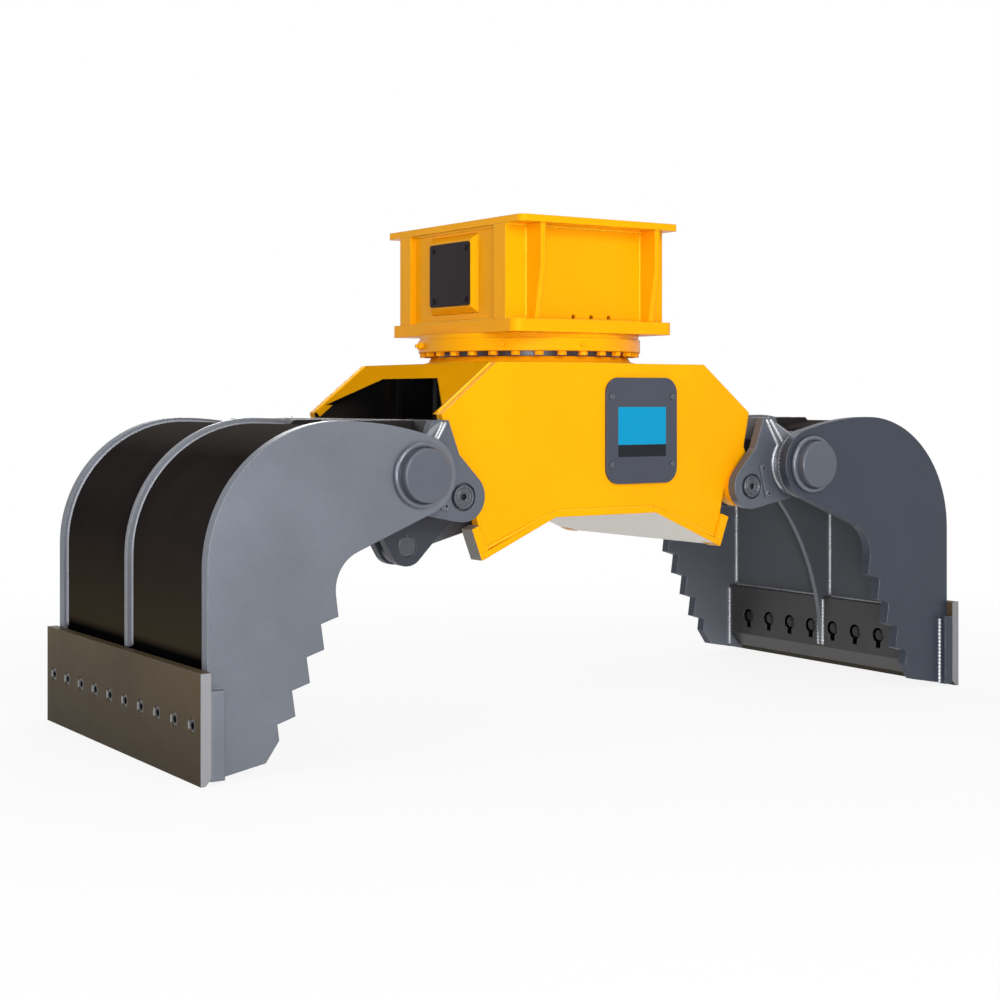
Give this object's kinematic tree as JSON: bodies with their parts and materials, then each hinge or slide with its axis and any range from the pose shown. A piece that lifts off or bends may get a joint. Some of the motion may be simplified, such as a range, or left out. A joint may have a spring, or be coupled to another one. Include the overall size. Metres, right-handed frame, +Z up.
{
  "type": "demolition and sorting grapple",
  "caption": "Two-jaw hydraulic demolition and sorting grapple with a slewing head, toothed side plates and bolt-on blades, standing open.",
  "frame": {"origin": "on the ground, midway between the jaws and the blade ends", "axes": "+X along the opening towards the right jaw, +Y along the blades away from the viewer, +Z up along the slewing axis"},
  "size_m": [2.256, 0.926, 1.229],
  "materials": {
    "yellow_paint": "satin",
    "grey_paint": "satin",
    "wear_steel": "worn",
    "bare_steel": "satin",
    "dark_plate": "satin",
    "black_paint": "satin",
    "chrome_rod": "polished"
  },
  "bodies": {
    "body": {"cheek_plates": "yellow_paint", "cover_plate": "dark_plate", "cover_plate_screws": "bare_steel", "deck_plate": "yellow_paint", "foot_plates": "yellow_paint", "inner_webs": "yellow_paint", "sloped_end_plates": "yellow_paint", "underside_plates": "yellow_paint", "pivot_hubs": "yellow_paint", "ring_seat": "yellow_paint", "ring_gear": "bare_steel", "union_stem": "bare_steel"},
    "head": {"head_base_plate": "yellow_paint", "head_gussets": "yellow_paint", "head_top_plate": "yellow_paint", "head_walls": "yellow_paint", "hatch_boxes": "yellow_paint", "hatch_cover": "black_paint", "hatch_cover_screws": "bare_steel", "outer_race": "yellow_paint", "race_bolts": "bare_steel", "race_fittings": "bare_steel", "spacer_drum": "yellow_paint", "slewing_motor": "black_paint", "rotary_union": "black_paint"},
    "pinion": {"drive_pinion": "bare_steel"},
    "left_jaw": {"left_side_plates": "grey_paint", "left_shell": "grey_paint", "left_ribs": "grey_paint", "left_backing_bar": "grey_paint", "left_blade": "wear_steel", "left_blade_bolts": "bare_steel", "left_torque_tube": "grey_paint", "left_tube_caps": "grey_paint", "left_ear_plates": "grey_paint", "left_lever_plates": "grey_paint", "left_closing_plate": "grey_paint", "left_pins": "bare_steel", "left_pin_keepers": "bare_steel"},
    "right_jaw": {"right_side_plates": "grey_paint", "right_shell": "grey_paint", "right_ribs": "grey_paint", "right_backing_bar": "grey_paint", "right_blade": "wear_steel", "right_blade_bolts": "bare_steel", "right_torque_tube": "grey_paint", "right_tube_caps": "grey_paint", "right_ear_plates": "grey_paint", "right_lever_plates": "grey_paint", "right_closing_plate": "grey_paint", "right_pins": "bare_steel", "right_pin_keepers": "bare_steel"},
    "front_barrel": {"front_barrel": "black_paint"},
    "front_rod": {"front_rod": "chrome_rod", "front_rod_eye": "black_paint"},
    "rear_barrel": {"rear_barrel": "black_paint"},
    "rear_rod": {"rear_rod": "chrome_rod", "rear_rod_eye": "black_paint"},
    "sync_link": {"sync_link": "black_paint"}
  },
  "joints": [
    {"name": "head_slew", "type": "hinge", "parent": "body", "child": "head", "pos_m": [0, 0, 0.9], "axis": [0, 0, 1], "continuous": true},
    {"name": "pinion_spin", "type": "hinge", "parent": "head", "child": "pinion", "pos_m": [0, 0.156, 0.92], "axis": [0, 0, 1], "continuous": true},
    {"name": "left_jaw_pivot", "type": "hinge", "parent": "body", "child": "left_jaw", "pos_m": [-0.441, 0, 0.563], "axis": [0, -1, 0], "range_deg": [0, 79.5]},
    {"name": "right_jaw_pivot", "type": "hinge", "parent": "body", "child": "right_jaw", "pos_m": [0.441, 0, 0.563], "axis": [0, 1, 0], "range_deg": [0, 79.5]},
    {"name": "front_barrel_pin", "type": "hinge", "parent": "left_jaw", "child": "front_barrel", "pos_m": [-0.34458, -0.131, 0.67791], "axis": [0, -1, 0], "range_deg": [-79.5, 0]},
    {"name": "front_rod_pin", "type": "hinge", "parent": "right_jaw", "child": "front_rod", "pos_m": [0.34458, -0.131, 0.67791], "axis": [0, 1, 0], "range_deg": [-79.5, 0]},
    {"name": "rear_barrel_pin", "type": "hinge", "parent": "right_jaw", "child": "rear_barrel", "pos_m": [0.34458, 0.131, 0.67791], "axis": [0, 1, 0], "range_deg": [-79.5, 0]},
    {"name": "rear_rod_pin", "type": "hinge", "parent": "left_jaw", "child": "rear_rod", "pos_m": [-0.34458, 0.131, 0.67791], "axis": [0, -1, 0], "range_deg": [-79.5, 0]},
    {"name": "sync_link_pin", "type": "hinge", "parent": "left_jaw", "child": "sync_link", "pos_m": [-0.53742, -0.239, 0.44809], "axis": [0, -1, 0], "range_deg": [-79.5, 0]}
  ],
  "couplings": [
    {"joint": "pinion_spin", "follows": "head_slew", "ratio": -4.7143},
    {"joint": "right_jaw_pivot", "follows": "left_jaw_pivot", "ratio": 1},
    {"joint": "front_barrel_pin", "follows": "left_jaw_pivot", "ratio": -1},
    {"joint": "front_rod_pin", "follows": "left_jaw_pivot", "ratio": -1},
    {"joint": "rear_barrel_pin", "follows": "left_jaw_pivot", "ratio": -1},
    {"joint": "rear_rod_pin", "follows": "left_jaw_pivot", "ratio": -1},
    {"joint": "sync_link_pin", "follows": "left_jaw_pivot", "ratio": -1}
  ]
}
